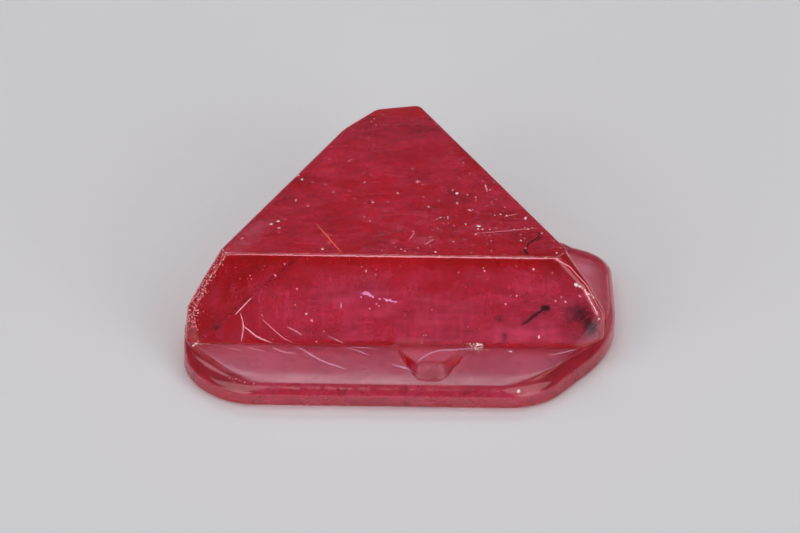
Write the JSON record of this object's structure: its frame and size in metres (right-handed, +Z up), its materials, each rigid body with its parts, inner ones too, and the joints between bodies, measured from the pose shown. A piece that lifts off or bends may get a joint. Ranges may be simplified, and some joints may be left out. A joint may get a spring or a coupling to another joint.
{
  "type": "spinel crystal",
  "caption": "Natural red spinel crystal, flattened and triangular, with a low rounded terrace in front and a lobe at its right.",
  "frame": {"origin": "centre of the bounding box in plan, at the height of the flat base face", "axes": "+Z up, square to the base and top faces; -Y the way the long front face looks; +X along the front face to the right"},
  "size_m": [0.009, 0.0084, 0.0024],
  "materials": {
    "spinel": "clear deep red crystal with bright, naturally smooth faces, worn edges and rough rims"
  },
  "bodies": {
    "root": {"spinel_crystal": "spinel"}
  },
  "joints": []
}
